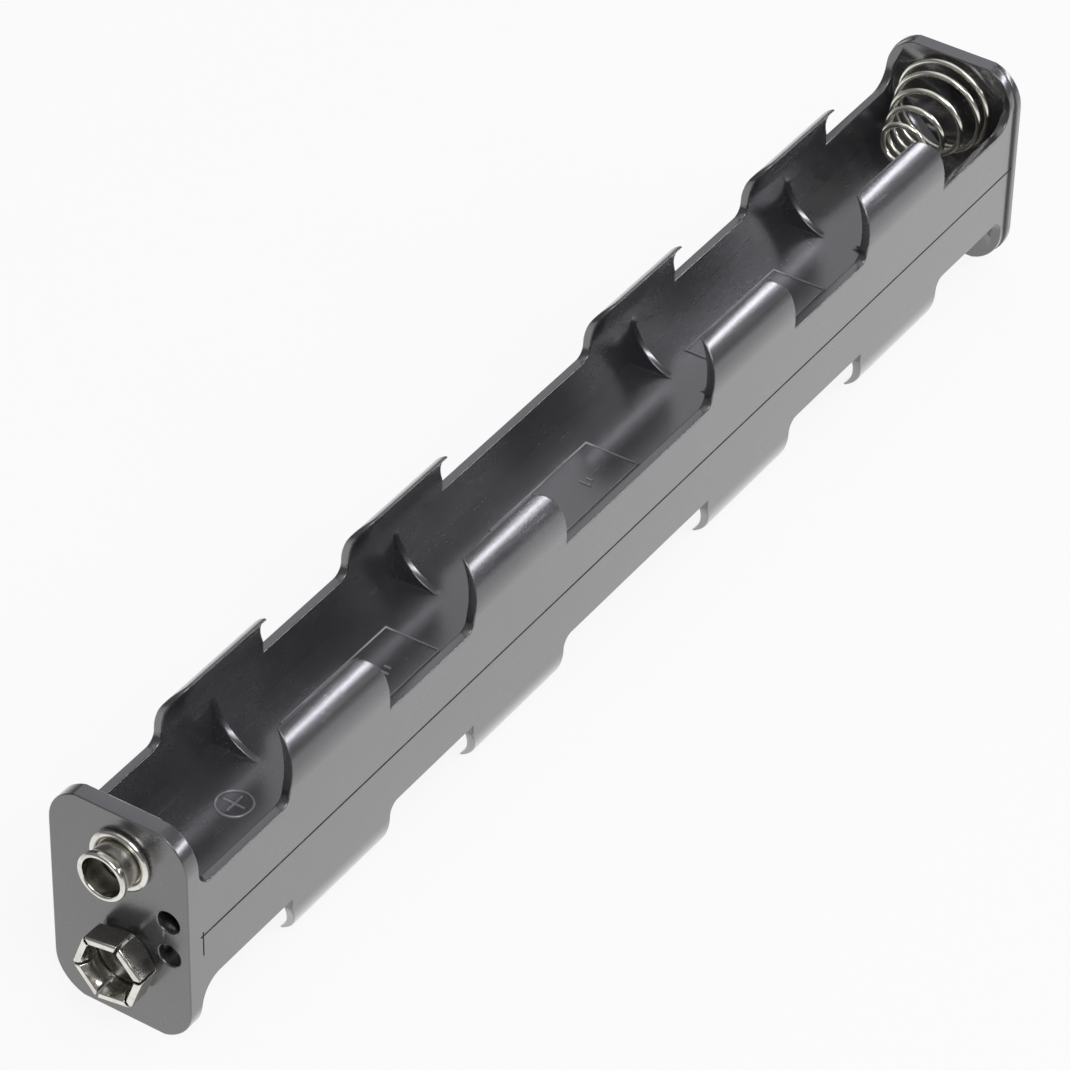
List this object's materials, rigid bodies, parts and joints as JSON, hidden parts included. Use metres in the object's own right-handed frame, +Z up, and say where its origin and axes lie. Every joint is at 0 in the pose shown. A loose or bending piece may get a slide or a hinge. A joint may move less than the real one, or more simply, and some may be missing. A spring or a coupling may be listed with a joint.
{
  "type": "battery holder",
  "caption": "Black moulded back-to-back AA battery holder, an open tray with curled clips and a conical spring on each side, and a pair of snap terminals at one end.",
  "frame": {"origin": "middle of the holder in plan, at the lower edge of the end plates that it stands on", "axes": "+X along the cells from the snap end to the far end, +Y across the holder, +Z up out of the upper tray"},
  "size_m": [0.1682, 0.0176, 0.027],
  "materials": {
    "black_plastic": "satin",
    "nickel_plate": "polished",
    "spring_wire": "polished"
  },
  "bodies": {
    "root": {"body": "black_plastic", "male_stud": "nickel_plate", "stud_eyelet": "nickel_plate", "female_socket": "nickel_plate", "socket_eyelet": "nickel_plate", "contact_near": "nickel_plate", "contact_far": "nickel_plate", "far_eyelet": "nickel_plate", "bridge_strap": "nickel_plate", "spring_near": "spring_wire", "spring_far": "spring_wire"}
  },
  "joints": []
}
